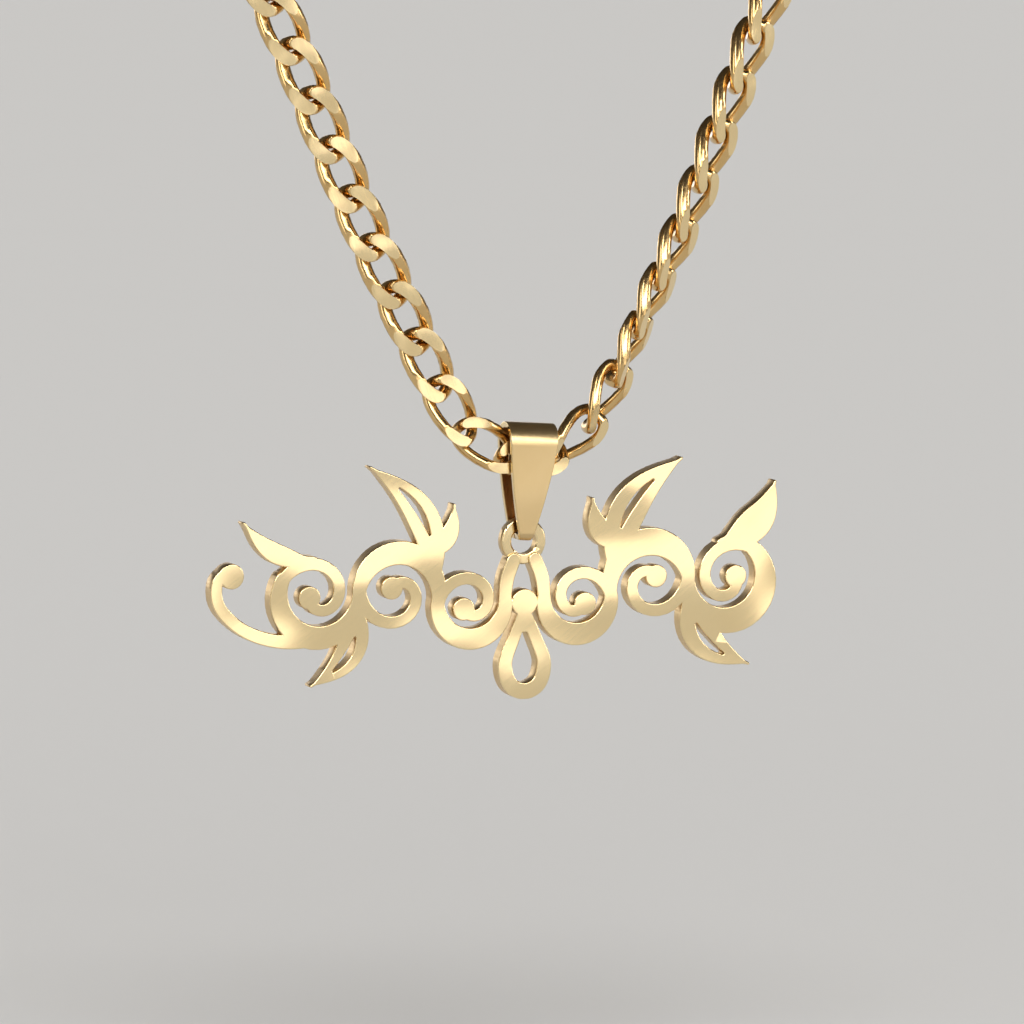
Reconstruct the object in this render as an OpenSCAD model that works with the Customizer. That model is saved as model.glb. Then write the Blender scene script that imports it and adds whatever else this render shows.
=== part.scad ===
// Nameplate necklace: an openwork plate with a soldered ring hangs from a folded bail on a
// ground curb chain. The origin is the middle of the nape, where the clasp lies. +Z is up,
// the plate faces -Y, and the chain's hanging point is below and in front of the nape.

/* [Chain] */
// Width of the chain across its links
chain_w = 4; // [3.9:0.1:4.4]
// Thickness of the chain between its ground faces
chain_t = 1.7; // [1.4:0.1:2]
// Diameter of the link wire
wire_d = 1.05; // [0.8:0.05:1.1]
// Length that one more link adds to the chain
link_pitch = 4.4; // [4.2:0.1:5.6]
// Twist of a link's end out of the link's plane, in degrees
link_twist = 48; // [46:1:50]
// Running gap between two linked wires
link_gap = 0.2; // [0.15:0.01:0.3]

/* [Bail] */
// Width of the bail over the chain
bail_w = 4.3; // [3:0.1:5]
// Width of the bail's feet inside the ring
bail_foot_w = 1; // [0.7:0.1:1.2]
// Depth of the bail over its arch, front to back
bail_depth = 3.6; // [3.4:0.1:5]
// Depth of the bail over its feet, front to back
bail_foot_depth = 3; // [2.9:0.1:3.4]
// Height of the bail from its feet to the top of its arch
bail_h = 9.8; // [9:0.1:13]
// Thickness of the bail's strip
bail_t = 0.5; // [0.35:0.05:0.6]
// Radius of the inside of the bend at each foot
bail_bend_r = 0.2; // [0.1:0.05:0.3]
// Gap between the two feet where they meet in the ring
foot_seam = 0.1; // [0.1:0.05:0.3]
// Free height between the chain's upper edge and the arch
arch_clear = 0.3; // [0.2:0.05:0.8]
// Lean of the bail, which takes its feet and the ring to the left, in degrees
bail_lean = 4.5; // [0:0.5:6]

/* [Ring] */
// Diameter of the hole in the plate's ring
ring_hole = 2.2; // [2.1:0.1:3]
// Width of the ring's band
ring_band = 0.85; // [0.6:0.05:0.9]
// Thickness of the ring, front to back
ring_t = 1.1; // [0.8:0.05:1.2]
// Chamfer on the ring's edges
ring_chamfer = 0.12; // [0.05:0.01:0.2]
// Running gap between the turning ring and the bail's feet
ring_gap = 0.17; // [0.15:0.01:0.3]

/* [Nameplate] */
// Length of the plate from its left tail to its right volute
plate_w = 50; // [42:0.5:60]
// Height of the plate from its drop to its highest leaf tip
plate_h = 20; // [17:0.25:24]
// Thickness of the plate
plate_t = 1.5; // [1.2:0.1:2.2]
// Width of the scroll's stem at its broadest
stroke_w = 2.4; // [1.8:0.1:2.6]
// How far the plate's crest reaches into the ring's band
crest_sink = 0.45; // [0.3:0.05:0.6]

/* [Clasp] */
// Radius of the clasp's round head
claw_r = 2.6; // [2.2:0.1:3.2]
// Radius of the clasp's narrow tail
tail_r = 1.5; // [1.1:0.1:1.8]
// Distance between the middles of the head and the tail
claw_len = 4.8; // [4:0.1:8]
// Radius of the hole in the head
claw_hole_r = 1.4; // [1:0.1:1.6]
// Thickness of the clasp's body
claw_t = 2; // [1.4:0.1:2.6]
// Radius of the clasp's eyes, to the middle of their wire
eye_r = 1.65; // [1.5:0.05:2.2]
// Diameter of the wire of the eyes
eye_wire = 1; // [0.8:0.05:1.1]
// How far each eye is sunk into the clasp's body
eye_sink = 0.35; // [0.2:0.05:0.5]
// Diameter of the thumb button
button_d = 1.3; // [0.9:0.1:1.6]

/* [Hidden] */
$fn = 64;

// The chain's lowest point, in the bail, and the points that one half of the chain passes on its
// way up the front, over the shoulder and round to the nape. The other half mirrors them.
hang_at = [0, -88, -114];
route_points = [
    [5.99, -88, -111.35], [8.22, -88, -107], [10.9, -88, -101.4], [14.9, -88, -93],
    [21.8, -87.5, -76.2], [30.3, -86.5, -58.5], [39.3, -84, -41], [48.3, -77, -25.5],
    [55.5, -63.5, -14], [59, -44, -6.5], [56, -24, -2.5], [43.5, -8.5, -0.5], [24, -1, 0]
];
// Azimuth that the chain's ground face looks to, as [share of the way from bail to nape, degrees
// from the front towards its own side]. The right half is rolled further round near the bail.
face_left = [[0.01, 6], [0.03, 0], [0.07, 14], [0.2, 18], [0.35, 28], [0.5, 58], [0.62, 90],
             [0.73, 116], [0.84, 145], [0.93, 168], [1, 180]];
face_right = [[0.01, 32], [0.03, 39], [0.05, 57], [0.07, 50], [0.09, 43], [0.11, 37], [0.13, 33],
              [0.18, 28], [0.26, 25], [0.35, 30], [0.5, 58], [0.62, 90], [0.73, 116], [0.84, 145],
              [0.93, 168], [1, 180]];
// How far the link in the bail sits to the right of the hanging point, as the photo shows it
low_shift = 0.39;
// Roll of the link in the bail, in degrees that its face looks down
middle_roll = 1;
// How far the near ends of the first two links of each half sit from the middle of the bend, as
// [back on the right and forward on the left, up], for the left half and then the right
seat_shift = [[[0.15, 0.03], [0.37, -0.08]], [[0.14, -0.03], [0.37, -0.06]]];
steps_per_leg = 12;
link_stations = 12;
wire_sides = 6;
link_roundness = 3.2;

// Clasp, worked out from its named sizes
head_x = -claw_len / 2 + (claw_r - tail_r) / 2;
tail_x = head_x + claw_len;
eye_left_x = head_x - claw_r + eye_sink - eye_r - eye_wire / 2;
eye_right_x = tail_x + tail_r - eye_sink + eye_r + eye_wire / 2;
linked_at = eye_r - (eye_wire + wire_d) / 2 - link_gap;

// Bail and ring, measured from the chain's lowest point
arch_r = bail_depth / 2;
arch_z = chain_w / 2 + arch_clear - (arch_r - bail_t);
bail_top_z = arch_z + arch_r;
foot_z = bail_top_z - bail_h;
foot_y = bail_foot_depth / 2;
ring_section = [ring_t / 2, ring_band / 2];
ring_reach = max(norm(ring_section - [ring_chamfer, 0]), norm(ring_section - [0, ring_chamfer]));
hole_fall = ring_hole / 2 - sqrt(pow(ring_hole / 2, 2) - pow(bail_foot_w / 2, 2));
pivot_z = foot_z + bail_t + ring_gap + hole_fall + ring_reach;
ring_r = ring_hole / 2 + ring_band;
pivot_at = hang_at + pivot_z * [sin(bail_lean), 0, cos(bail_lean)];
ring_at = pivot_at - [0, 0, (ring_hole + ring_band) / 2];
bail_taper = 1.65;
bail_taper_steps = 12;

// The plate's ornament, drawn in shares of its length from the crest under the ring. Widths are
// shares of the stem's. Heights follow the plate's height, and the volutes are round where the
// plate is drawn_aspect times as long as it is high.
drawn_aspect = 2.5;

// Running scroll of each half: its stem goes under the first circle, over the second and under
// the third. Each row is [circle's radius, its height, stem width], and the circles touch.
first_circle_share = 0.094;
circles_left = [[0.06, -0.07, 0.76], [0.07, -0.05, 0.84], [0.07, -0.046, 0.84]];
circles_right = [[0.06, -0.07, 0.8], [0.07, -0.05, 1], [0.069, -0.05, 0.96]];
first_angle = 172;
last_angle = [35, 60];
stem_thin_share = 0.48;

// A volute winds in from a few degrees before the stem leaves its circle, and ends in a ball
volute_shares = [0.46, 0.4];
volute_turns = 0.91;
volute_lead = 11;
volute_end_share = 0.0165;
volute_ball_share = 0.8;

// Where the stems leave the ring on their way to the first circles, and the bead that ties them:
// its height, how far it reaches past the stems' thinnest edge, and so its diameter
ribbon = [[0.019, -0.001, 0.5], [0.0305, -0.031, 0.52]];
bead_share = -0.073;
bead_sink = 0.028;
bead_d = 2 * ((first_circle_share - circles_left[0][0]) * plate_w - stem_thin_share * stroke_w / 2
    + bead_sink);

// Leaves: [base across, base up, tip across, tip up, bow, width, 1 if it has a slit]
leaves_left = [
    [0.154, -0.034, 0.27, 0.164, 0.034, 1.16, 1], [0.176, 0.012, 0.124, 0.096, 0.018, 0.7, 0],
    [0.294, -0.058, 0.376, -0.196, -0.03, 1.08, 1], [0.372, 0.012, 0.492, 0.08, -0.018, 0.72, 0]
];
leaves_right = [
    [0.154, -0.034, 0.28, 0.158, 0.034, 1.36, 1], [0.176, 0.012, 0.122, 0.096, 0.018, 0.8, 0],
    [0.294, -0.058, 0.4, -0.194, -0.034, 1.3, 1], [0.352, 0.012, 0.448, 0.112, -0.022, 1.2, 0]
];
leaf_end_shares = [0.38, 0.1];
leaf_fullness = 0.85;
slit_span_shares = [0.34, 0.75];
slit_share = 0.26;
slit_end_share = 0.3;

// Tail on the left with its ball, and one half of the drop
tail = [
    [-0.35, -0.118, 0.5], [-0.426, -0.12, 0.48], [-0.49, -0.1, 0.46], [-0.534, -0.06, 0.44],
    [-0.54, -0.02, 0.42], [-0.522, 0.002, 0.42]
];
tail_ball = [-0.514, -0.007, 0.88];
drop = [
    [0, -0.086, 0.42], [0.02, -0.134, 0.46], [0.0345, -0.174, 0.52], [0.026, -0.209, 0.56],
    [0, -0.222, 0.58]
];
arc_steps = 24;
stroke_steps = 6;
cap_step = 30;
drop_seam = 0.05;

function unit(v) = v / norm(v);
function mirrored(v) = [-v[0], v[1], v[2]];

// Point of a Catmull-Rom curve between b and c, at t from 0 to 1
function curve_point(a, b, c, d, t) = (2 * b + (c - a) * t + (2 * a - 5 * b + 4 * c - d) * t * t
    + (3 * b - a - 3 * c + d) * t * t * t) / 2;
function knot(p, i) = i < 0 ? 2 * p[0] - p[1]
    : i >= len(p) ? 2 * p[len(p) - 1] - p[len(p) - 2] : p[i];
function curve(p, steps) = [
    for (i = [0 : len(p) - 2], s = [0 : steps - 1])
        curve_point(knot(p, i - 1), knot(p, i), knot(p, i + 1), knot(p, i + 2), s / steps),
    p[len(p) - 1]
];

// Chain: the route of one half, from the end wire of the link in the bail to the clasp's eye
middle_half = (link_pitch + wire_d + link_gap) / 2;
function route(side) = curve(concat(
    [hang_at + [middle_half + side * low_shift, 0, 0]], route_points,
    [[(side < 0 ? -eye_left_x : eye_right_x) + linked_at, 0, 0]]), steps_per_leg);
function lengths(p, i = 0, sum = 0) = i >= len(p) ? []
    : let (s = i == 0 ? 0 : sum + norm(p[i] - p[i - 1])) concat([s], lengths(p, i + 1, s));
function along(p, s, at) = [for (k = [0 : 2]) lookup(at, [for (i = [0 : len(p) - 1]) [s[i], p[i][k]]])];

// Far end wires of the links of one half, one pitch apart
function link_ends(side) =
    let (p = route(side), s = lengths(p), total = s[len(s) - 1], n = round(total / link_pitch))
    [for (i = [0 : n]) let (q = along(p, s, total * i / n)) side < 0 ? mirrored(q) : q];

// A link's place: its middle, half its length, its direction and the way its ground face looks.
// Its near end wire lies behind the last link's far end wire, along the line that halves the bend.
function face_way(side, share, t) =
    let (az = side * lookup(share, side < 0 ? face_left : face_right),
         r = [sin(az), -cos(az), 0])
    unit(r - (r * t) * t);
function link_place(side, ends, i) =
    let (last = i == 1 ? [side, 0, 0] : unit(ends[i - 1] - ends[i - 2]),
         halving = unit(last + unit(ends[i] - ends[i - 1])),
         shift = i > len(seat_shift) ? [0, 0] : seat_shift[i - 1][side < 0 ? 0 : 1],
         seat = [0, side * shift[0], shift[1]],
         near = ends[i - 1] - (wire_d + link_gap) * halving + seat, t = unit(ends[i] - near))
    [(near + ends[i]) / 2, norm(ends[i] - near) / 2, t,
     face_way(side, (i - 0.5) / (len(ends) - 1), t)];
function half_places(side) = let (ends = link_ends(side))
    [for (i = [1 : len(ends) - 1]) link_place(side, ends, i)];
middle_place = [hang_at + [low_shift, 0, 0], middle_half, [1, 0, 0],
    [0, -cos(middle_roll), -sin(middle_roll)]];

function power(x, e) = sign(x) * pow(abs(x), e);

// Middle of a link's wire at a station, in the link's own frame: along, across and out of plane
function wire_middle(half_len, angle) =
    let (u = half_len * power(cos(angle), 2 / link_roundness),
         v = (chain_w - wire_d) / 2 * power(sin(angle), 2 / link_roundness),
         turn = -link_twist * u / half_len)
    [u, v * cos(turn), v * sin(turn)];

// One ring of wire corners, with the ground faces cut flat
function wire_ring(half_len, k) =
    let (step = 360 / link_stations, at = k * step, m = wire_middle(half_len, at),
         t = unit(wire_middle(half_len, at + step / 2) - wire_middle(half_len, at - step / 2)),
         turn = -link_twist * m[0] / half_len,
         n = [0, -sin(turn), cos(turn)], up = unit(n - (n * t) * t), out = cross(up, t))
    [for (j = [0 : wire_sides - 1])
        let (a = (j + 0.5) * 360 / wire_sides, q = m + wire_d / 2 * (cos(a) * out + sin(a) * up))
        [q[0], q[1], min(chain_t / 2, max(-chain_t / 2, q[2]))]];

function link_points(place) =
    let (t = place[2], n = place[3], w = cross(n, t))
    [for (k = [0 : link_stations - 1]) for (q = wire_ring(place[1], k))
        place[0] + q[0] * t + q[1] * w + q[2] * n];
function link_faces(first) = [
    for (k = [0 : link_stations - 1], j = [0 : wire_sides - 1])
        let (k2 = (k + 1) % link_stations, j2 = (j + 1) % wire_sides,
             a = first + k * wire_sides + j, b = first + k * wire_sides + j2,
             c = first + k2 * wire_sides + j2, d = first + k2 * wire_sides + j)
        each [[a, c, b], [a, d, c]]
];

module links(places) {
    per_link = link_stations * wire_sides;
    polyhedron(
        points = [for (p = places) each link_points(p)],
        faces = [for (i = [0 : len(places) - 1]) each link_faces(i * per_link)],
        convexity = 10
    );
}

module chain_left() {
    color("goldenrod") links(concat([middle_place], half_places(-1)));
}

module chain_right() {
    color("goldenrod") links(half_places(1));
}

// Bail: its side profile, drawn with y across and z up, then cut to its tapering front
module foot_bend() {
    bend = bail_bend_r + bail_t;
    intersection() {
        translate([foot_y - bend, foot_z + bend]) difference() {
            circle(r = bend);
            circle(r = bail_bend_r);
        }
        translate([foot_y - bend, foot_z]) square(bend);
    }
}

module bail_side() {
    bend = bail_bend_r + bail_t;
    translate([foot_seam / 2, foot_z]) square([foot_y - bend - foot_seam / 2, bail_t]);
    foot_bend();
    polygon([
        [foot_y - bail_t, foot_z + bend], [foot_y, foot_z + bend],
        [arch_r, arch_z], [arch_r - bail_t, arch_z]
    ]);
}

module bail_profile() {
    for (m = [0, 1]) mirror([m, 0]) bail_side();
    translate([0, arch_z]) intersection() {
        difference() {
            circle(r = arch_r);
            circle(r = arch_r - bail_t);
        }
        translate([-arch_r, 0]) square([2 * arch_r, arch_r]);
    }
}

function bail_half_w(share) = (bail_w - (bail_w - bail_foot_w) * pow(share, bail_taper)) / 2;

module bail_front() {
    rows = [for (i = [0 : bail_taper_steps]) i / bail_taper_steps];
    polygon(concat(
        [for (s = rows) [bail_half_w(s), bail_top_z - s * bail_h]],
        [for (i = [bail_taper_steps : -1 : 0]) [-bail_half_w(rows[i]), bail_top_z - rows[i] * bail_h]]
    ));
}

module bail() {
    color("darkgoldenrod") translate(hang_at) rotate([0, bail_lean, 0]) intersection() {
        rotate([90, 0, 90]) linear_extrude(bail_w, center = true) bail_profile();
        rotate([90, 0, 0]) linear_extrude(bail_depth, center = true) bail_front();
    }
}

// Nameplate: strokes of changing width along the lines of the ornament, with round ends
function sized(q) = [q[0] * plate_w, q[1] * drawn_aspect * plate_h, q[2] * stroke_w];
function way(c, i) =
    let (d = c[min(i + 1, len(c) - 1)] - c[max(i - 1, 0)]) unit([d[0], d[1]]);
function left_of(t) = [-t[1], t[0]];
function edge(c, i, side) = [c[i][0], c[i][1]] + side * c[i][2] / 2 * left_of(way(c, i));
function cap(q, t) = [for (a = [cap_step : cap_step : 180 - cap_step])
    [q[0], q[1]] + q[2] / 2 * (cos(a) * left_of(t) + sin(a) * t)];
function positive_angle(a) = (a % 360 + 360) % 360;
function ramp(ends, s) = ends[0] + (ends[1] - ends[0]) * s;

module stroke(points) {
    c = [for (q = points) sized(q)];
    last = len(c) - 1;
    polygon(concat(
        [for (i = [0 : last]) edge(c, i, 1)], cap(c[last], way(c, last)),
        [for (i = [last : -1 : 0]) edge(c, i, -1)], cap(c[0], -way(c, 0))
    ));
}

module ball(q) {
    c = sized(q);
    translate([c[0], c[1]]) circle(d = c[2]);
}

// The scroll's circles: their places, and the angles at which the stem comes and leaves
function circle_x(rows, k) = k == 0 ? first_circle_share
    : circle_x(rows, k - 1)
      + sqrt(pow(rows[k][0] + rows[k - 1][0], 2) - pow(rows[k][1] - rows[k - 1][1], 2));
function angle_out(rows, k, last) = k + 1 == len(rows) ? last
    : atan2(rows[k + 1][1] - rows[k][1], circle_x(rows, k + 1) - circle_x(rows, k));
function angle_in(rows, k) = k == 0 ? first_angle : 180 + angle_out(rows, k - 1, 0);
function turning(k) = k % 2 == 0 ? 1 : -1;
function on_circle(rows, k, r, a, w) = [circle_x(rows, k) + r * cos(a), rows[k][1] + r * sin(a), w];

// The stem's arc round one circle, without its last point, and the volute inside that circle
function stem_arc(rows, k, last) =
    let (from = angle_in(rows, k), to = angle_out(rows, k, last),
         sweep = turning(k) * positive_angle(turning(k) * (to - from)))
    [for (i = [0 : arc_steps - 1]) let (s = i / arc_steps)
        on_circle(rows, k, rows[k][0], from + sweep * s,
                  stem_thin_share + (rows[k][2] - stem_thin_share) * sin(180 * s))];
function volute(rows, k, last) = let (from = angle_out(rows, k, last) - turning(k) * volute_lead)
    [for (i = [0 : arc_steps]) let (s = i / arc_steps)
        on_circle(rows, k, rows[k][0] * pow(volute_end_share / rows[k][0], s),
                  from + turning(k) * 360 * volute_turns * s, ramp(volute_shares, s))];

module scroll(rows, last) {
    arcs = [for (k = [0 : len(rows) - 1]) each stem_arc(rows, k, last)];
    lead = curve(concat(ribbon, [arcs[0]]), stroke_steps);
    stroke(concat([for (i = [0 : len(lead) - 2]) lead[i]], arcs));
    for (k = [0 : len(rows) - 1]) {
        line = volute(rows, k, last);
        stroke(line);
        ball([line[arc_steps][0], line[arc_steps][1], volute_ball_share]);
    }
}

// Middle of a leaf at share s of its length
function leaf_middle(f, s) =
    let (a = [f[0], f[1]], d = [f[2], f[3]] - a) a + s * d + f[4] * sin(180 * s) * unit(left_of(d));

module leaf(f) {
    stroke([for (i = [0 : arc_steps]) let (s = i / arc_steps)
        concat(leaf_middle(f, s),
               [max(f[5] * sin(180 * pow(s, leaf_fullness)), ramp(leaf_end_shares, s))])]);
}

module slit(f) {
    stroke([for (i = [0 : stroke_steps]) let (s = i / stroke_steps)
        concat(leaf_middle(f, ramp(slit_span_shares, s)),
               [slit_share * (slit_end_share + (1 - slit_end_share) * sin(180 * s))])]);
}

module half_outline(rows, last, leaves) {
    scroll(rows, last);
    for (f = leaves) leaf(f);
}

module half_slits(leaves) {
    for (f = leaves) if (f[6] == 1) slit(f);
}

// The drop's outer or inner outline: one side of its line, and the same mirrored
module drop_outline(side) {
    last = len(drop) - 1;
    line = curve(concat(drop, [for (i = [1, 2]) mirrored(drop[last - i])]), stroke_steps);
    c = [for (q = line) sized(q)];
    half = [for (i = [0 : last * stroke_steps]) let (q = edge(c, i, side)) if (q[0] > drop_seam) q];
    polygon(concat(half, [for (i = [len(half) - 1 : -1 : 0]) [-half[i][0], half[i][1]]]));
}

module plate_outline() {
    difference() {
        union() {
            half_outline(circles_right, last_angle[1], leaves_right);
            mirror([1, 0]) half_outline(circles_left, last_angle[0], leaves_left);
            stroke(curve(tail, stroke_steps));
            ball(tail_ball);
            drop_outline(1);
        }
        drop_outline(-1);
        half_slits(leaves_right);
        mirror([1, 0]) half_slits(leaves_left);
    }
    translate([0, bead_share * drawn_aspect * plate_h]) circle(d = bead_d);
}

module plate_ring() {
    rotate([90, 0, 0]) rotate_extrude() translate([ring_hole / 2, 0]) polygon([
        [ring_chamfer, -ring_t / 2], [ring_band - ring_chamfer, -ring_t / 2],
        [ring_band, ring_chamfer - ring_t / 2], [ring_band, ring_t / 2 - ring_chamfer],
        [ring_band - ring_chamfer, ring_t / 2], [ring_chamfer, ring_t / 2],
        [0, ring_t / 2 - ring_chamfer], [0, ring_chamfer - ring_t / 2]
    ]);
}

module nameplate() {
    color("gold") translate(ring_at) {
        plate_ring();
        translate([0, 0, crest_sink - ring_r]) rotate([90, 0, 0])
            linear_extrude(plate_t, center = true) plate_outline();
    }
}

// Clasp: a closed claw with a wire eye at each end, turned to cross the end links' wire
module clasp_outline() {
    lean = acos((claw_r - tail_r) / claw_len);
    translate([head_x, 0]) circle(r = claw_r);
    translate([tail_x, 0]) circle(r = tail_r);
    polygon([
        [head_x + claw_r * cos(lean), claw_r * sin(lean)],
        [head_x + claw_r * cos(lean), -claw_r * sin(lean)],
        [tail_x + tail_r * cos(lean), -tail_r * sin(lean)],
        [tail_x + tail_r * cos(lean), tail_r * sin(lean)]
    ]);
}

module clasp_eye(x, turn) {
    translate([x, 0, 0]) rotate([turn, 0, 0]) rotate_extrude() translate([eye_r, 0])
        circle(d = eye_wire);
}

module clasp() {
    color("goldenrod") {
        rotate([90, 0, 0]) linear_extrude(claw_t, center = true) difference() {
            union() {
                clasp_outline();
                translate([0, claw_r - button_d / 2]) circle(d = button_d);
            }
            translate([head_x, 0]) circle(r = claw_hole_r);
        }
        clasp_eye(eye_left_x, -link_twist);
        clasp_eye(eye_right_x, link_twist);
    }
}

nameplate();
bail();
chain_left();
chain_right();
clasp();
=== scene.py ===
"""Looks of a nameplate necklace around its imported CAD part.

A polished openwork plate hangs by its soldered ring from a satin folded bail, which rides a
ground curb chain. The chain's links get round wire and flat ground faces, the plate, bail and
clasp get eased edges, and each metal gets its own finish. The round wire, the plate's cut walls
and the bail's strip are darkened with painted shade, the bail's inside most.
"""

from __future__ import annotations

import logging
import math
from collections.abc import Callable
from dataclasses import dataclass
from enum import Enum, IntEnum

import bmesh
import bpy
import numpy as np
from mathutils import Matrix, Vector

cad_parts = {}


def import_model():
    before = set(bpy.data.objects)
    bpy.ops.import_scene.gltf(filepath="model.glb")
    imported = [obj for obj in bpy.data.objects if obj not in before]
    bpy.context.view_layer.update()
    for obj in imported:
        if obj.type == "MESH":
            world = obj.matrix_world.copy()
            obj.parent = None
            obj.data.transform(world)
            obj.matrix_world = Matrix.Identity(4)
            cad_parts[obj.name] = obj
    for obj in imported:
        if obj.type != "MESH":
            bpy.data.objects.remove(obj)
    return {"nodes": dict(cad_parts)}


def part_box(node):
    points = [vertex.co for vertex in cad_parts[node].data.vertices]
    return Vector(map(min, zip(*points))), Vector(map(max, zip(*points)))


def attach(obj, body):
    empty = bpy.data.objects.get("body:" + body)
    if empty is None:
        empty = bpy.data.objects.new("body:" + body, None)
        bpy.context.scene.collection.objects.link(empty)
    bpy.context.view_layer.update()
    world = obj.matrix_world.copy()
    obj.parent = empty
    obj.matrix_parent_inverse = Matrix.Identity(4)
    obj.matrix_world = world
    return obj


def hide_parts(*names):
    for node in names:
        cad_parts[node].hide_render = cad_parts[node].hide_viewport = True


LOG = logging.getLogger("necklace")

MM = 0.001

# Points that are closer than this are taken as one.
WELD = 1e-6

# The plate's ring: its outer radius, the depth of the crown that shows where its middle is, and
# how far from the necklace's middle it is looked for.
RING_OUTER_RADIUS = 1.95 * MM
RING_CROWN = 0.1 * MM
RING_REACH = 2.5 * MM

# Octaves of finer pattern in the patches of tone, the tool marks and the waves.
TONE_DETAIL = 3.0
MARK_DETAIL = 2.0
WAVE_DETAIL = 0.0

# Range that most of a noise pattern lies in.
NOISE_RANGE = (0.3, 0.7)

# Height of the tool marks' relief at its full strength.
MARK_RELIEF = 0.01 * MM

# Lean of the smoothed normals towards large faces, where 50 is none and 100 the most.
LARGE_FACE_LEAN = 100

Colour = tuple[float, float, float]


class Body(Enum):
    """Bodies that the pieces ride on."""

    CHAIN = "chain"
    BAIL = "bail"
    NAMEPLATE = "nameplate"


class Slot(Enum):
    """Material slots of the record."""

    PLATE = "plate_gold"
    BAIL = "bail_gold"
    CHAIN = "chain_gold"


class Grain(Enum):
    """Ways that the marks of polishing, grinding or cutting run, as stretches of the pattern.

    A small number along an axis draws the marks out along that axis.
    """

    SIDEWAYS = (0.06, 1.0, 1.0)
    UPRIGHT = (1.0, 1.0, 0.05)
    THROUGH = (1.0, 0.03, 1.0)
    CLOUDY = (1.0, 1.0, 1.0)


class PlateSurface(IntEnum):
    """Surfaces of the plate, numbered in the order of its finishes."""

    FACE = 0
    WALL = 1


class BailSurface(IntEnum):
    """Surfaces of the bail's strip, numbered in the order of its finishes."""

    OUTSIDE = 0
    RIM = 1
    INSIDE = 2


class LinkSurface(IntEnum):
    """Surfaces of a link, numbered in the order of its finishes."""

    WIRE = 0
    GROUND = 1


# Finishes, some darkened with painted shade


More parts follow.
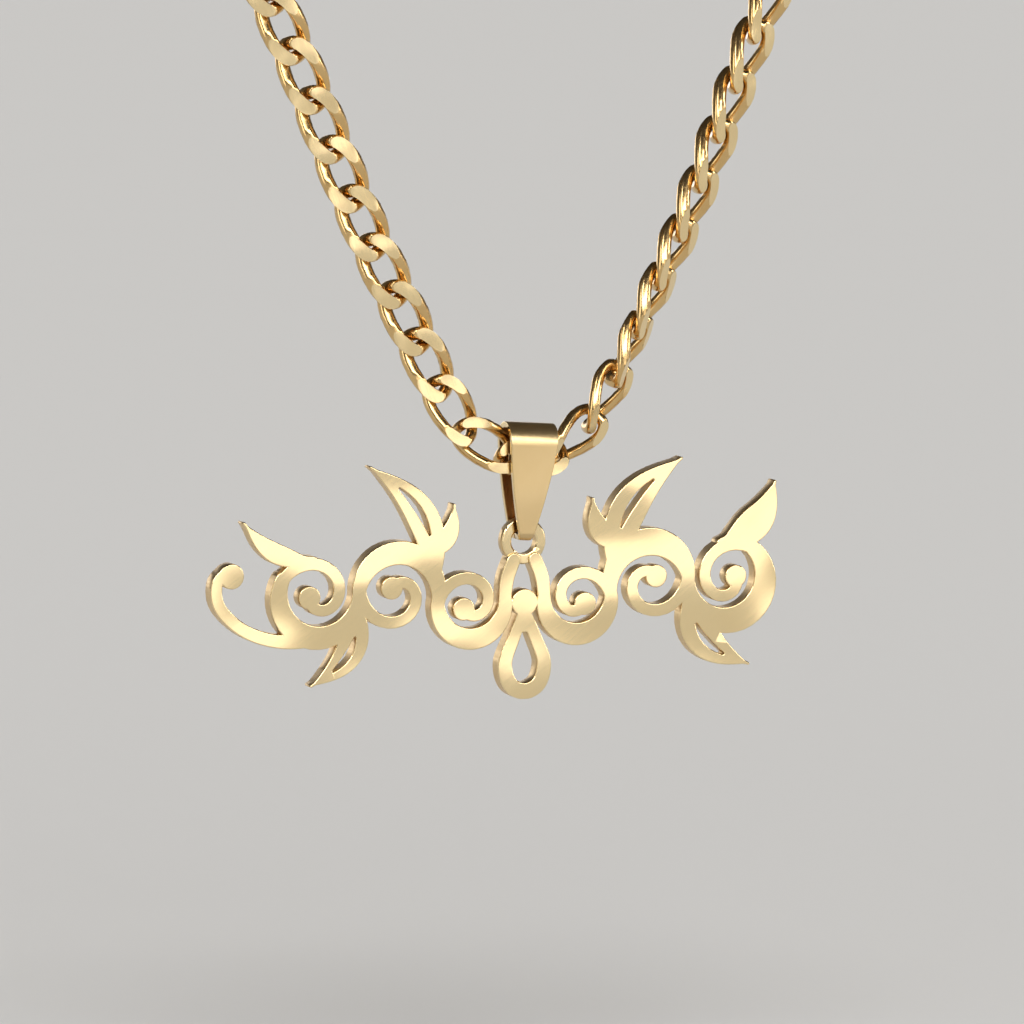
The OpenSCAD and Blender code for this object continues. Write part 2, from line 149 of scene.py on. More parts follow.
@dataclass(frozen=True)
class GoldFinish:
    """A gold-coloured plated metal with faint changes of tone, haze and tool marks.

    Attributes:
        name: Name of the material.
        bright: Colour where the plating is brightest.
        warm: Colour where it is warmest.
        gloss: Lowest and highest roughness.
        patch: Size of the patches of tone, in metres.
        mark: Spacing of the tool marks, in metres.
        mark_depth: Strength of the marks' relief, from 0 to 1.
        grain: The way that the marks run.
        sway: Height of the slow waves that polishing leaves, in metres.
        turn: Turn of the marks about the front axis, in radians.
    """

    name: str
    bright: Colour
    warm: Colour
    gloss: tuple[float, float]
    patch: float
    mark: float
    mark_depth: float
    grain: Grain
    sway: float
    turn: float = 0.0

    def make(self) -> bpy.types.Material:
        """Build the material.

        Returns:
            The new material.
        """
        material = bpy.data.materials.new(self.name)
        material.use_nodes = True
        tree = material.node_tree
        shader = tree.nodes["Principled BSDF"]
        shader.inputs["Metallic"].default_value = 1.0
        place = tree.nodes.new("ShaderNodeTexCoord").outputs["Object"]
        tone = self._noise(tree, place, 1 / self.patch, TONE_DETAIL)
        mix = tree.nodes.new("ShaderNodeMix")
        mix.data_type = "RGBA"
        mix.inputs["A"].default_value = (*self.warm, 1.0)
        mix.inputs["B"].default_value = (*self.bright, 1.0)
        tree.links.new(tone, mix.inputs["Factor"])
        tree.links.new(mix.outputs["Result"], shader.inputs["Base Color"])
        marks = self._noise(tree, self._drawn_out(tree, place), 1 / self.mark, MARK_DETAIL)
        self._roughness(tree, marks, shader)
        waves = self._noise(tree, place, 1 / self.patch, WAVE_DETAIL)
        self._relief(tree, waves, marks, shader)
        return material

    def _noise(self, tree: bpy.types.NodeTree, place: bpy.types.NodeSocket, scale: float,
               detail: float) -> bpy.types.NodeSocket:
        """Add a noise pattern.

        Args:
            tree: The material's nodes.
            place: Coordinates that the pattern reads.
            scale: Patches per metre.
            detail: Octaves of finer pattern.

        Returns:
            The pattern's output.
        """
        noise = tree.nodes.new("ShaderNodeTexNoise")
        noise.inputs["Scale"].default_value = scale
        noise.inputs["Detail"].default_value = detail
        tree.links.new(place, noise.inputs["Vector"])
        return noise.outputs["Fac"]

    def _drawn_out(self, tree: bpy.types.NodeTree,
                   place: bpy.types.NodeSocket) -> bpy.types.NodeSocket:
        """Stretch and turn the coordinates along the grain.

        Args:
            tree: The material's nodes.
            place: Object coordinates.

        Returns:
            The stretched coordinates.
        """
        turned = tree.nodes.new("ShaderNodeMapping")
        turned.vector_type = "POINT"
        turned.inputs["Rotation"].default_value = (0.0, self.turn, 0.0)
        tree.links.new(place, turned.inputs["Vector"])
        stretched = tree.nodes.new("ShaderNodeMapping")
        stretched.vector_type = "POINT"
        stretched.inputs["Scale"].default_value = self.grain.value
        tree.links.new(turned.outputs["Vector"], stretched.inputs["Vector"])
        return stretched.outputs["Vector"]

    def _roughness(self, tree: bpy.types.NodeTree, marks: bpy.types.NodeSocket,
                   shader: bpy.types.Node) -> None:
        """Let the marks vary the gloss.

        Args:
            tree: The material's nodes.
            marks: The marks' pattern.
            shader: The surface shader.
        """
        spread = tree.nodes.new("ShaderNodeMapRange")
        spread.inputs["From Min"].default_value = NOISE_RANGE[0]
        spread.inputs["From Max"].default_value = NOISE_RANGE[1]
        spread.inputs["To Min"].default_value = self.gloss[0]
        spread.inputs["To Max"].default_value = self.gloss[1]
        tree.links.new(marks, spread.inputs["Value"])
        tree.links.new(spread.outputs["Result"], shader.inputs["Roughness"])

    def _relief(self, tree: bpy.types.NodeTree, waves: bpy.types.NodeSocket,
                marks: bpy.types.NodeSocket, shader: bpy.types.Node) -> None:
        """Cut the marks into a surface that polishing has left in slow waves.

        Args:
            tree: The material's nodes.
            waves: The slow waves' pattern.
            marks: The marks' pattern.
            shader: The surface shader.
        """
        swell = tree.nodes.new("ShaderNodeBump")
        swell.inputs["Strength"].default_value = 1.0
        swell.inputs["Distance"].default_value = self.sway
        tree.links.new(waves, swell.inputs["Height"])
        cut = tree.nodes.new("ShaderNodeBump")
        cut.inputs["Strength"].default_value = self.mark_depth
        cut.inputs["Distance"].default_value = MARK_RELIEF
        tree.links.new(marks, cut.inputs["Height"])
        tree.links.new(swell.outputs["Normal"], cut.inputs["Normal"])
        tree.links.new(cut.outputs["Normal"], shader.inputs["Normal"])


PLATE_FACE = GoldFinish(
    name="plate_gold_polished", bright=(1.0, 0.82, 0.49), warm=(0.95, 0.73, 0.38),
    gloss=(0.09, 0.13), patch=8 * MM, mark=0.12 * MM, mark_depth=0.025,
    grain=Grain.SIDEWAYS, sway=0.42 * MM, turn=math.radians(35))
# Painted shade: the cut walls' colours are darker than the face's gold of the same metal. Their
# rougher gloss and through-running marks are the real cut finish.
PLATE_WALL_PAINTED_SHADE = GoldFinish(
    name="plate_gold_cut_wall_painted_shade", bright=(0.84, 0.64, 0.35), warm=(0.7, 0.49, 0.23),
    gloss=(0.3, 0.42), patch=3 * MM, mark=0.1 * MM, mark_depth=0.6, grain=Grain.THROUGH,
    sway=0.03 * MM)
# Painted shade: the satin strip's colours are darker than the plate's gold of the same metal.
# Its rougher gloss and upright marks are the real satin finish.
BAIL_STRIP_PAINTED_SHADE = GoldFinish(
    name="bail_gold_satin_painted_shade", bright=(0.76, 0.58, 0.32), warm=(0.66, 0.47, 0.22),
    gloss=(0.3, 0.4), patch=5 * MM, mark=0.12 * MM, mark_depth=0.15, grain=Grain.UPRIGHT,
    sway=0.1 * MM)
# Painted shade: the strip's inside is coloured deep brown, far darker than the gold outside,
# standing in for the shade and dark reflections inside the fold.
BAIL_INSIDE_PAINTED_SHADE = GoldFinish(
    name="bail_gold_inside_painted_shade", bright=(0.52, 0.32, 0.13), warm=(0.4, 0.22, 0.08),
    gloss=(0.25, 0.35), patch=2 * MM, mark=0.12 * MM, mark_depth=0.15, grain=Grain.UPRIGHT,
    sway=0.05 * MM)
BAIL_RIM = GoldFinish(
    name="bail_gold_rim", bright=(1.0, 0.82, 0.48), warm=(0.94, 0.72, 0.38),
    gloss=(0.12, 0.18), patch=3 * MM, mark=0.2 * MM, mark_depth=0.1, grain=Grain.CLOUDY,
    sway=0.03 * MM)
# Painted shade: the round wire's colours are darker than the ground faces' gold of the same
# metal, so that the wire looks shaded.
LINK_WIRE_PAINTED_SHADE = GoldFinish(
    name="chain_gold_wire_painted_shade", bright=(0.86, 0.62, 0.3), warm=(0.66, 0.42, 0.16),
    gloss=(0.16, 0.24), patch=2.5 * MM, mark=0.3 * MM, mark_depth=0.2, grain=Grain.CLOUDY,
    sway=0.05 * MM)
LINK_GROUND = GoldFinish(
    name="chain_gold_ground", bright=(1.0, 0.81, 0.47), warm=(0.95, 0.72, 0.37),
    gloss=(0.16, 0.26), patch=2.5 * MM, mark=0.09 * MM, mark_depth=0.25,
    grain=Grain.UPRIGHT, sway=0.25 * MM, turn=math.radians(20))


# Shared handling of numbers and meshes


def blend(ends: tuple[float, float], share: float) -> float:
    """Return the value at a share of the way between two ends."""
    return ends[0] + (ends[1] - ends[0]) * share


def welded_copy(node: str) -> bmesh.types.BMesh:
    """Copy a CAD node's mesh and weld its loose triangles.

    Args:
        node: Name of the CAD node.

    Returns:
        The welded mesh, in the CAD frame.
    """
    mesh = bmesh.new()
    mesh.from_mesh(FRAME["nodes"][node].data)
    bmesh.ops.remove_doubles(mesh, verts=mesh.verts, dist=WELD)
    mesh.normal_update()
    return mesh


def join_flat_faces(mesh: bmesh.types.BMesh, limit: float) -> None:
    """Dissolve the edges inside flat faces.

    Args:
        mesh: The mesh to clean.
        limit: Largest angle between faces that are taken as one, in radians.
    """
    bmesh.ops.dissolve_limit(mesh, angle_limit=limit, verts=mesh.verts, edges=mesh.edges,
                             delimit=set())
    mesh.normal_update()


def ease_edges(mesh: bmesh.types.BMesh, width: float, steps: int,
               chosen: Callable[[bmesh.types.BMEdge], bool]) -> None:
    """Round the chosen edges.

    Args:
        mesh: The mesh to change.
        width: Width of the easing, in metres.
        steps: Facets across the easing.
        chosen: Says which edges are rounded.
    """
    edges = [edge for edge in mesh.edges if len(edge.link_faces) == 2 and chosen(edge)]
    bmesh.ops.bevel(mesh, geom=edges, offset=width, offset_type="OFFSET", segments=steps,
                    profile=0.5, affect="EDGES", material=-1, clamp_overlap=False,
                    loop_slide=True)
    mesh.normal_update()


def as_piece(mesh: bmesh.types.BMesh, name: str, finishes: list[GoldFinish], crease: float,
             body: Body, node: str) -> bpy.types.Object:
    """Turn a finished mesh into a piece of the necklace that stands for a CAD node.

    Args:
        mesh: The finished mesh, which is freed.
        name: Name of the piece.
        finishes: Finishes, in the order of the faces' material indices.
        crease: Angle above which an edge shows as sharp, in radians.
        body: Body that the piece rides on.
        node: CAD node that the piece replaces.

    Returns:
        The piece.
    """
    data = bpy.data.meshes.new(name)
    mesh.to_mesh(data)
    mesh.free()
    for finish in finishes:
        data.materials.append(finish.make())
    data.shade_smooth()
    data.set_sharp_from_angle(angle=crease)
    piece = bpy.data.objects.new(name, data)
    bpy.context.scene.collection.objects.link(piece)
    even = piece.modifiers.new("even_normals", "WEIGHTED_NORMAL")
    even.mode = "FACE_AREA"
    even.weight = LARGE_FACE_LEAN
    even.keep_sharp = True
    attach(piece, body.value)
    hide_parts(node)
    return piece


# Sub-assemblies


@dataclass
class Nameplate:
    """The openwork plate with its soldered ring.

    Attributes:
        rim: Width of the easing round the plate's faces, in metres.
        rim_steps: Facets across that easing.
        flat: Largest angle between faces that count as one, in radians.
        crease: Angle above which an edge shows as sharp, in radians.
        corner: Least angle between the faces at an edge that is eased, in radians.
        slack: How far a rim's points may be from the plate's front or back, in metres.
        wall_lean: Largest share of a cut wall's normal along the front axis.
    """

    rim: float = 0.1 * MM
    rim_steps: int = 2
    flat: float = math.radians(0.5)
    crease: float = math.radians(42)
    corner: float = math.radians(60)
    slack: float = 0.01 * MM
    wall_lean: float = 0.1

    def build(self) -> bpy.types.Object:
        """Make the plate.

        Returns:
            The plate, which replaces its CAD node.
        """
        mesh = welded_copy("nameplate")
        join_flat_faces(mesh, self.flat)
        faces = self._face_levels()
        ease_edges(mesh, self.rim, self.rim_steps, lambda edge: self._on_rim(edge, faces))
        # Walls get the colour darkened with painted shade, faces the plate's full gold.
        for face in mesh.faces:
            is_wall = abs(face.normal.y) < self.wall_lean
            face.material_index = PlateSurface.WALL if is_wall else PlateSurface.FACE
        return as_piece(mesh, "openwork_plate", [PLATE_FACE, PLATE_WALL_PAINTED_SHADE], self.crease,
                        Body.NAMEPLATE, "nameplate")

    def _face_levels(self) -> tuple[float, float]:
        """Return the plate's front and back, as places along the front axis."""
        low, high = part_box("nameplate")
        return low.y, high.y

    def _on_rim(self, edge: bmesh.types.BMEdge, levels: tuple[float, float]) -> bool:
        """Tell whether an edge bounds the plate's front or back.

        Args:
            edge: An edge with two faces.
            levels: Places of the front and the back along the front axis.

        Returns:
            True on the rim.
        """
        near = any(all(abs(v.co.y - level) < self.slack for v in edge.verts) for level in levels)
        return near and edge.calc_face_angle() > self.corner


@dataclass
class FoldedBail:
    """The folded strip that rides the chain and holds the ring.

    Attributes:
        easing: Width of the easing along the strip's edges, in metres.
        easing_steps: Facets across it.
        flat: Largest angle between faces that count as one, in radians.
        crease: Angle above which an edge shows as sharp, in radians.
        corner: Least angle between the faces at an edge that is eased, in radians.
        rim_lean: Least share of a rim's normal along the side axis.
    """

    easing: float = 0.07 * MM
    easing_steps: int = 2
    flat: float = math.radians(0.5)
    crease: float = math.radians(35)
    corner: float = math.radians(50)
    rim_lean: float = 0.8

    def build(self) -> bpy.types.Object:
        """Make the bail.

        Returns:
            The bail, which replaces its CAD node.
        """
        mesh = welded_copy("bail")
        join_flat_faces(mesh, self.flat)
        low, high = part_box("bail")
        # The strip's outside and inside get colours darkened with painted shade, the inside far
        # darker. The rims keep the full gold.
        for face in mesh.faces:
            face.material_index = self._surface(face, (low + high) / 2)
        ease_edges(mesh, self.easing, self.easing_steps,
                   lambda edge: edge.calc_face_angle() > self.corner)
        return as_piece(mesh, "folded_bail", [BAIL_STRIP_PAINTED_SHADE, BAIL_RIM, BAIL_INSIDE_PAINTED_SHADE], self.crease,
                        Body.BAIL, "bail")

    def _surface(self, face: bmesh.types.BMFace, middle: Vector) -> BailSurface:
        """Tell which of the strip's surfaces a face belongs to.

        Args:
            face: A face of the strip.
            middle: Middle of the bail, which the strip's inside faces.

        Returns:
            The surface.
        """
        if abs(face.normal.x) > self.rim_lean:
            return BailSurface.RIM
        is_inside = face.normal.dot(face.calc_center_median() - middle) < 0
        return BailSurface.INSIDE if is_inside else BailSurface.OUTSIDE


@dataclass
class PlainClasp:
    """The closed claw clasp with its two wire eyes.

    Attributes:
        easing: Width of the easing round the claw, in metres.
        easing_steps: Facets across it.
        flat: Largest angle between faces that count as one, in radians.
        crease: Angle above which an edge shows as sharp, in radians.
        corner: Least angle between the faces at an edge that is eased, in radians.
        level_lean: Least share of a level face's normal along the front axis.
    """

    easing: float = 0.25 * MM
    easing_steps: int = 3
    flat: float = math.radians(0.5)
    crease: float = math.radians(35)
    corner: float = math.radians(60)
    level_lean: float = 0.99

    def build(self) -> bpy.types.Object:
        """Make the clasp.

        Returns:
            The clasp, which replaces its CAD node.
        """
        mesh = welded_copy("clasp")
        join_flat_faces(mesh, self.flat)
        low, high = self._claw_faces(mesh)
        ease_edges(mesh, self.easing, self.easing_steps,
                   lambda edge: edge.calc_face_angle() > self.corner
                   and all(abs(v.co.y - low) < WELD or abs(v.co.y - high) < WELD
                           for v in edge.verts))
        # The clasp takes the wire's colour, darkened with painted shade.
        return as_piece(mesh, "clasp_claw", [LINK_WIRE_PAINTED_SHADE], self.crease,
                        Body.CHAIN, "clasp")

    def _claw_faces(self, mesh: bmesh.types.BMesh) -> tuple[float, float]:
        """Find the claw's front and back.

        Args:
            mesh: The clasp's mesh, with its flat faces joined.

        Returns:
            The places of the two largest faces along the front axis.
        """
        flats = sorted((f for f in mesh.faces if abs(f.normal.y) > self.level_lean),
                       key=lambda f: f.calc_area())
        levels = sorted(f.calc_center_median().y for f in flats[-2:])
        return levels[0], levels[1]


@dataclass(frozen=True)
class LinkSize:
    """Measures of one link.

    Attributes:
        half_length: Half the length of the wire's middle line, in metres.
        half_width: Half the width of the wire's middle line, in metres.
        wire: Diameter of the wire, in metres.
    """

    half_length: float
    half_width: float
    wire: float


@dataclass
class LinkShape:
    """A ground curb link: a rounded rectangle of wire, twisted about its length.

    A slim link fills no more than its CAD solid, whose wire has six sides. A full link is as
    thick as in the photograph.

    Attributes:
        cad_width: Width of a link with round wire in the CAD part, in metres.
        cad_wire: Wire diameter in the CAD part, over its corners, in metres.
        cad_sides: Sides of the wire in the CAD part.
        wires: Wire diameter of a slim and of a full link, in metres.
        roundness: Power of the rounded rectangle that the wire follows.
        ground: Thickness between the ground faces, in metres.
        twist: Turn of the link's end out of its plane, in radians.
        stations: Steps round the link.
        sides: Steps round the wire.
        ring_radius: Radius of the plain ring that is bent to a link, in wire diameters.
        nudge: Angle to each side over which the wire's run is measured, in radians.
    """

    cad_width: float = 4.0 * MM
    cad_wire: float = 1.05 * MM
    cad_sides: int = 6
    wires: tuple[float, float] = (0.93 * MM, 1.18 * MM)
    roundness: float = 3.2
    ground: float = 1.7 * MM
    twist: float = math.radians(48)
    stations: int = 44
    sides: int = 14
    ring_radius: float = 10.0
    nudge: float = math.radians(2)

    def size(self, reach: float, swell: float) -> LinkSize:
        """Work out a link's measures.

        Args:
            reach: Half the length of its CAD solid, over the wire, in metres.
            swell: 0 for a slim link, 1 for a full one.

        Returns:
            The measures.
        """
        flat = self.cad_wire / 2 * math.cos(math.pi / self.cad_sides)
        wire = blend(self.wires, swell)
        outer = (self.cad_width - self.cad_wire) / 2 + blend((flat, self.cad_wire / 2), swell)
        return LinkSize(
            half_length=reach - blend((self.wires[0] / 2, flat), swell),
            half_width=outer - wire / 2,
            wire=wire)

    def wire_middle(self, size: LinkSize, angle: float) -> Vector:
        """Work out the middle of the wire at one angle round the link.

        Args:
            size: The link's measures.
            angle: Angle round the link, in radians.

        Returns:
            The point, as length, width and depth.
        """
        power = 2 / self.roundness
        along = math.copysign(abs(math.cos(angle)) ** power, math.cos(angle))
        across = math.copysign(abs(math.sin(angle)) ** power, math.sin(angle))
        across *= size.half_width
        turn = -self.twist * along
        return Vector((size.half_length * along, across * math.cos(turn),
                       across * math.sin(turn)))

    def bent(self, size: LinkSize, point: Vector) -> Vector:
        """Move a point of a plain ring of wire to the link's shape.

        Args:
            size: The link's measures.
            point: The point on the plain ring.

        Returns:
            The point on the link.
        """
        angle = math.atan2(point.y, point.x)
        middle = self.wire_middle(size, angle)
        run = (self.wire_middle(size, angle + self.nudge)
               - self.wire_middle(size, angle - self.nudge)).normalized()
        turn = -self.twist * middle.x / size.half_length
        depth = Vector((0.0, -math.sin(turn), math.cos(turn)))
        rise = (depth - depth.dot(run) * run).normalized()
        out = rise.cross(run)
        outward = math.hypot(point.x, point.y) - self.ring_radius
        return middle + size.wire * (outward * out + point.z * rise)

    def plain_ring(self) -> bmesh.types.BMesh:
        """Spin the wire's section, 1 across, into a plain ring.

        Returns:
            The ring, about the depth axis.
        """
        ring = bmesh.new()
        section = bmesh.ops.create_circle(ring, segments=self.sides, radius=0.5,
                                          cap_ends=False)
        upright = (Matrix.Translation((self.ring_radius, 0.0, 0.0))
                   @ Matrix.Rotation(math.pi / 2, 4, "X"))
        bmesh.ops.transform(ring, matrix=upright, verts=section["verts"])
        bmesh.ops.spin(ring, geom=ring.verts[:] + ring.edges[:], cent=(0, 0, 0), axis=(0, 0, 1),
                       angle=2 * math.pi, steps=self.stations, use_merge=True)
        bmesh.ops.remove_doubles(ring, verts=ring.verts, dist=WELD)
        bmesh.ops.recalc_face_normals(ring, faces=ring.faces)
        return ring

    def link(self, ring: bmesh.types.BMesh, size: LinkSize) -> bmesh.types.BMesh:
        """Bend a plain ring to one link and grind its two faces.

        Args:
            ring: The plain ring.
            size: The link's measures.

        Returns:
            The link, with its ground faces marked for their finish and their edges sharp.
        """
        link = ring.copy()
        for vert in link.verts:
            vert.co = self.bent(size, vert.co)
        for side in (1.0, -1.0):
            cut = bmesh.ops.bisect_plane(
                link, geom=link.verts[:] + link.edges[:] + link.faces[:], dist=WELD,
                plane_co=(0, 0, side * self.ground / 2), plane_no=(0, 0, side), clear_outer=True)
            edges = [e for e in cut["geom_cut"] if isinstance(e, bmesh.types.BMEdge)]
            flats = bmesh.ops.edgeloop_fill(link, edges=edges, mat_nr=LinkSurface.GROUND)
            for edge in edges:
                edge.smooth = False
            for flat in flats["faces"]:
                flat.smooth = False
        bmesh.ops.recalc_face_normals(link, faces=link.faces)
        return link


@dataclass
class CurbChain:
    """One half of the chain, link by link on the CAD part's own links.

    Attributes:
        node: CAD node of this half.
        name: Name of the piece.
        shape: Shape of its links.
        crease: Angle above which an edge shows as sharp, in radians.
        slim_reach: Distance from the bail up to which links are slim, so that the swinging bail
            stays clear of them, in metres.
        full_reach: Distance from the bail from which links are full, in metres.
    """

    node: str
    name: str
    shape: LinkShape
    crease: float = math.radians(50)
    slim_reach: float = 8 * MM
    full_reach: float = 15 * MM

    def build(self) -> bpy.types.Object:
        """Make this half of the chain.

        Returns:
            The chain, which replaces its CAD node.
        """
        ring = self.shape.plain_ring()
        chain = bmesh.new()
        scratch = bpy.data.meshes.new(self.name + "_link")
        for points in self._cad_links():
            place, reach = self._link_place(points)
            size = self.shape.size(reach, self._swell(place.translation))
            link = self.shape.link(ring, size)
            bmesh.ops.transform(link, matrix=place, verts=link.verts)
            link.to_mesh(scratch)
            link.free()
            chain.from_mesh(scratch)
        ring.free()
        bpy.data.meshes.remove(scratch)
        # The round wire takes a colour darkened with painted shade. The ground faces keep the
        # full gold.
        return as_piece(chain, self.name, [LINK_WIRE_PAINTED_SHADE, LINK_GROUND], self.crease,
                        Body.CHAIN, self.node)

    def _swell(self, middle: Vector) -> float:
        """Choose how full a link is.

        Args:
            middle: Middle of the link, in metres.

        Returns:
            0 for a slim link, 1 for a full one.
        """
        low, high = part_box("bail")
        away = (middle - (low + high) / 2).length
        return min(1.0, max(0.0, (away - self.slim_reach) / (self.full_reach - self.slim_reach)))

    def _cad_links(self) -> list[np.ndarray]:
        """Collect the corners of each loose link of the CAD node.

        Returns:
            For each link, its corners in rows, in metres.
        """
        mesh = welded_copy(self.node)
        links = []
        seen: set[int] = set()
        for start in mesh.verts:
            if start.index in seen:
                continue
            group, waiting = [], [start]
            seen.add(start.index)
            while waiting:
                vert = waiting.pop()
                group.append(tuple(vert.co))
                for edge in vert.link_edges:
                    other = edge.other_vert(vert)
                    if other.index not in seen:
                        seen.add(other.index)
                        waiting.append(other)
            links.append(np.array(group))
        mesh.free()
        return links

    def _link_place(self, points: np.ndarray) -> tuple[Matrix, float]:
        """Find a CAD link's middle, directions and length.

        A link looks the same after half a turn about each of its own axes, so the main
        directions of its corners are its axes.

        Args:
            points: The link's corners.

        Returns:
            The matrix from link to necklace, and half the link's length.
        """
        middle = points.mean(axis=0)
        spread = points - middle
        _, axes = np.linalg.eigh(spread.T @ spread)
        along, depth = axes[:, 2], axes[:, 0]
        across = np.cross(depth, along)
        place = Matrix(np.column_stack([along, across, depth]).tolist()).to_4x4()
        place.translation = Vector(middle.tolist())
        return place, float(np.abs(spread @ along).max())


# Studio


def way_to(azimuth: float, elevation: float) -> Vector:
    """Work out the direction from the pendant to a place in the studio.

    Args:
        azimuth: Side that the place is on, in degrees from the front towards +X.
        elevation: Height of the place, in degrees.

    Returns:
        The direction, 1 long.
    """
    turn, rise = math.radians(azimuth), math.radians(elevation)
    return Vector((math.sin(turn) * math.cos(rise), -math.cos(turn) * math.cos(rise),
                   math.sin(rise)))


@dataclass(frozen=True)
class Softbox:
    """A soft rectangular light that looks at the pendant.

    Attributes:
        name: Name of the light.
        azimuth: Side that it stands on, in degrees from the front towards +X.
        elevation: Height above the pendant, in degrees.
        distance: Distance from the pendant, in metres.
        width: Width of its face, in metres.
        height: Height of its face, in metres.
        glow: Brightness of its face.
        tint: Colour of its light.
    """

    name: str
    azimuth: float
    elevation: float
    distance: float
    width: float
    height: float
    glow: float
    tint: Colour = (1.0, 0.98, 0.95)

    def place(self, target: Vector) -> bpy.types.Object:
        """Set the softbox up.

        Args:
            target: Point that it looks at.

        Returns:
            The light.
        """
        data = bpy.data.lights.new(self.name, "AREA")
        data.shape = "RECTANGLE"
        data.size = self.width
        data.size_y = self.height
        data.energy = self.glow * math.pi * self.width * self.height
        data.color = self.tint
        light = bpy.data.objects.new(self.name, data)
        back = way_to(self.azimuth, self.elevation)
        light.location = target + self.distance * back
        light.rotation_euler = back.to_track_quat("Z", "Y").to_euler()
        light.visible_camera = False
        light.visible_diffuse = False
        bpy.context.scene.collection.objects.link(light)
        return light


@dataclass
class Studio:
    """Pale floor, soft light and the camera at the photograph's angle.

    Attributes:
        ring_middle: Middle of the plate's ring, in metres.
        pixels_per_metre: Scale of the photograph at the pendant.
        ring_pixel: Place of the ring's middle in the photograph.
        image_size: Width and height of the photograph, in pixels.
        azimuth: Side that the camera looks from, in degrees from the front towards +X.
        elevation: Height that it looks from, in degrees.
        distance: Distance from the ring to the camera, in metres.
        sensor: Width of the camera's sensor, in millimetres.
        clip: Nearest and farthest distance that the camera sees, in metres.
        floor_drop: Depth of the floor under the pendant's lowest point, in metres.
        floor_size: Half the width of the floor, in metres.
        floor_tone: Colour of the floor.
        floor_roughness: Roughness of the floor.
        sun_power: Strength of the even light on the floor, in watts per square metre.
        sun_rise: Height of that light, in degrees.
        sun_spread: Angle that it comes from, in degrees across.
        room_low: Colour of the room at the height of the pendant and below it.
        room_high: Colour of the room overhead.
        room_high_from: Height from which the room has that colour, as a share of straight up.
        softboxes: Lights that the metal mirrors.
    """

    ring_middle: Vector
    pixels_per_metre: float = 12000.0
    ring_pixel: tuple[float, float] = (521.8, 540.4)
    image_size: float = 1024.0
    azimuth: float = -20.0
    elevation: float = 7.0
    distance: float = 0.9
    sensor: float = 36.0
    clip: tuple[float, float] = (0.01, 100.0)
    floor_drop: float = 30 * MM
    floor_size: float = 12.0
    floor_tone: Colour = (0.80, 0.79, 0.77)
    floor_roughness: float = 0.9
    sun_power: float = 2.4
    sun_rise: float = 62.0
    sun_spread: float = 60.0
    room_low: Colour = (0.17, 0.16, 0.15)
    room_high: Colour = (0.04, 0.035, 0.03)
    room_high_from: float = 0.7
    softboxes: tuple[Softbox, ...] = (
        Softbox("front_low", azimuth=18, elevation=2.4, distance=0.3, width=0.4, height=0.11,
                glow=0.96),
        Softbox("front_high", azimuth=0, elevation=26, distance=0.5, width=0.7, height=0.16,
                glow=5.4),
        Softbox("left_panel", azimuth=-80, elevation=16, distance=0.7, width=0.22, height=0.42,
                glow=2.2),
        Softbox("left_high", azimuth=-48, elevation=34, distance=0.6, width=0.1, height=0.3,
                glow=7.0),
        Softbox("right_panel", azimuth=75, elevation=14, distance=0.7, width=0.16, height=0.4,
                glow=6.0),
        Softbox("back_strip", azimuth=182, elevation=5, distance=0.7, width=0.8, height=0.18,
                glow=1.6),
    )

    def build(self) -> None:
        """Set up the camera, floor, world and lights."""
        self._camera()
        self._floor()
        self._world()
        self._even_light()
        for softbox in self.softboxes:
            softbox.place(self.ring_middle)
        bpy.context.scene.view_settings.view_transform = "Standard"

    def _camera(self) -> None:
        """Make the camera so that the ring stands where the photograph has it."""
        turn = math.radians(self.azimuth)
        back = way_to(self.azimuth, self.elevation)
        right = Vector((math.cos(turn), math.sin(turn), 0.0))
        up = back.cross(right)
        shift_right = (self.ring_pixel[0] - self.image_size / 2) / self.pixels_per_metre
        shift_down = (self.ring_pixel[1] - self.image_size / 2) / self.pixels_per_metre
        aim = self.ring_middle - shift_right * right + shift_down * up
        data = bpy.data.cameras.new("photo_camera")
        data.sensor_width = self.sensor
        data.lens = self.sensor * self.distance * self.pixels_per_metre / self.image_size
        data.clip_start, data.clip_end = self.clip
        camera = bpy.data.objects.new("photo_camera", data)
        place = Matrix((right, up, back)).transposed().to_4x4()
        place.translation = aim + self.distance * back
        camera.matrix_world = place
        bpy.context.scene.collection.objects.link(camera)
        bpy.context.scene.camera = camera

    def _floor(self) -> None:
        """Lay the plain pale floor."""
        low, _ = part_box("nameplate")
        mesh = bmesh.new()
        bmesh.ops.create_grid(mesh, x_segments=1, y_segments=1, size=self.floor_size)
        bmesh.ops.translate(mesh, verts=mesh.verts, vec=(0, 0, low.z - self.floor_drop))
        data = bpy.data.meshes.new("studio_floor")
        mesh.to_mesh(data)
        mesh.free()
        material = bpy.data.materials.new("pale_floor")
        material.use_nodes = True
        shader = material.node_tree.nodes["Principled BSDF"]
        shader.inputs["Base Color"].default_value = (*self.floor_tone, 1.0)
        shader.inputs["Roughness"].default_value = self.floor_roughness
        shader.inputs["Specular IOR Level"].default_value = 0.0
        data.materials.append(material)
        floor = bpy.data.objects.new("studio_floor", data)
        bpy.context.scene.collection.objects.link(floor)

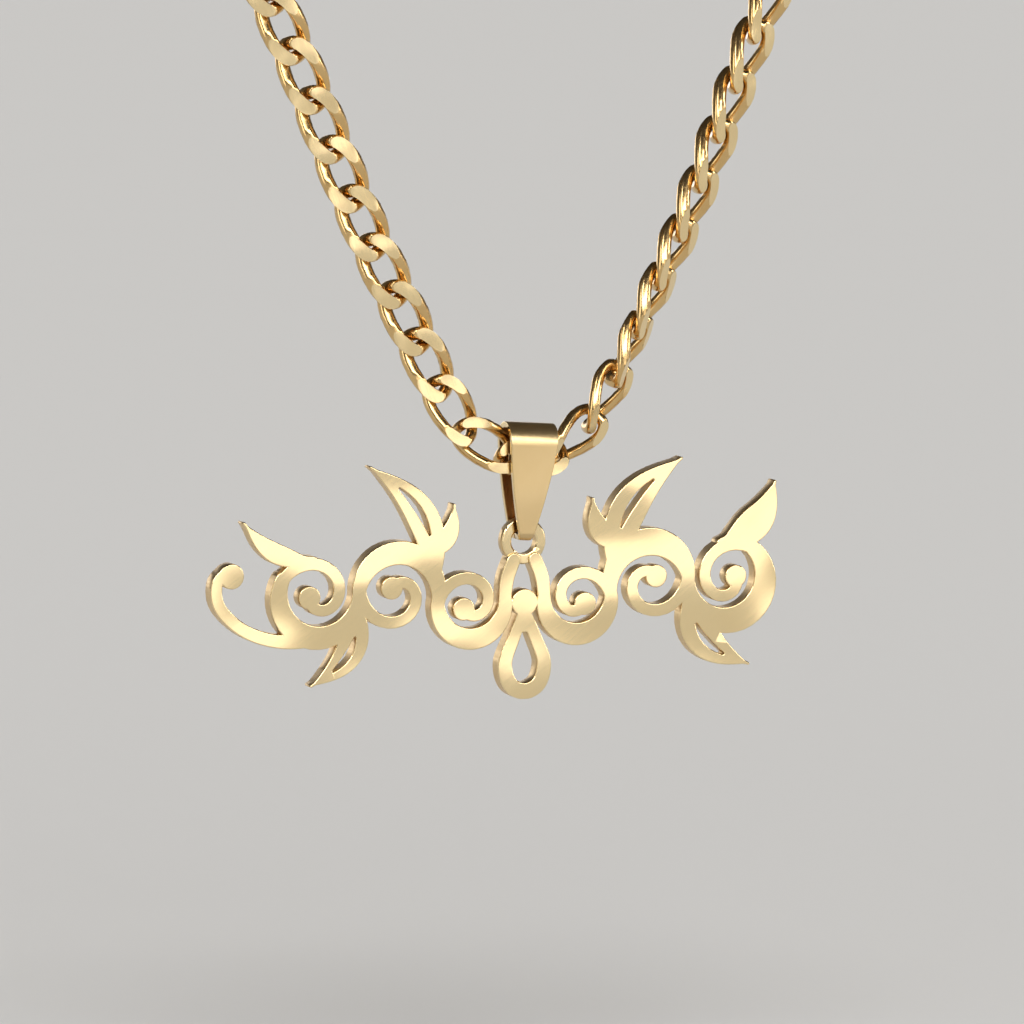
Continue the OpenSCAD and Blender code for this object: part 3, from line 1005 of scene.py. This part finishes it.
    def _even_light(self) -> None:
        """Light the floor evenly, without a mirror image of the light in the metal."""
        data = bpy.data.lights.new("even_light", "SUN")
        data.energy = self.sun_power
        data.angle = math.radians(self.sun_spread)
        light = bpy.data.objects.new("even_light", data)
        light.rotation_euler = (math.radians(90 - self.sun_rise), 0.0, 0.0)
        light.visible_glossy = False
        bpy.context.scene.collection.objects.link(light)

    def _world(self) -> None:
        """Light the room evenly, darker overhead so that the metal shows its form."""
        world = bpy.data.worlds.new("soft_room")
        world.use_nodes = True
        tree = world.node_tree
        backdrop = tree.nodes["Background"]
        direction = tree.nodes.new("ShaderNodeTexCoord")
        parts = tree.nodes.new("ShaderNodeSeparateXYZ")
        ramp = tree.nodes.new("ShaderNodeValToRGB")
        low, high = ramp.color_ramp.elements
        low.position, low.color = 0.0, (*self.room_low, 1.0)
        high.position, high.color = self.room_high_from, (*self.room_high, 1.0)
        tree.links.new(direction.outputs["Generated"], parts.inputs["Vector"])
        tree.links.new(parts.outputs["Z"], ramp.inputs["Fac"])
        tree.links.new(ramp.outputs["Color"], backdrop.inputs["Color"])
        bpy.context.scene.world = world


# Measures of the part and the run


def ring_middle() -> Vector:
    """Find the middle of the plate's ring from its CAD node.

    The ring reaches higher than anything else near the necklace's middle, and its outer edge is
    highest over its own middle.

    Returns:
        The point, in metres.
    """
    mesh = welded_copy("nameplate")
    near = [v.co for v in mesh.verts if abs(v.co.x) < RING_REACH]
    top = max(place.z for place in near)
    crown = [place.x for place in near if place.z > top - RING_CROWN]
    mesh.free()
    low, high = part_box("nameplate")
    return Vector(((min(crown) + max(crown)) / 2, (low.y + high.y) / 2, top - RING_OUTER_RADIUS))


def main() -> None:
    """Build the necklace's pieces and the studio around them."""
    logging.basicConfig(level=logging.INFO, format="%(name)s: %(message)s")
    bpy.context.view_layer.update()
    Studio(ring_middle=ring_middle()).build()
    shape = LinkShape()
    builders = (
        Nameplate(),
        FoldedBail(),
        CurbChain("chain_left", "curb_chain_left", shape),
        CurbChain("chain_right", "curb_chain_right", shape),
        PlainClasp(),
    )
    for builder in builders:
        piece = builder.build()
        LOG.info("%s: %d faces", piece.name, len(piece.data.polygons))


if __name__ == "__main__":
    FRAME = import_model()
    main()
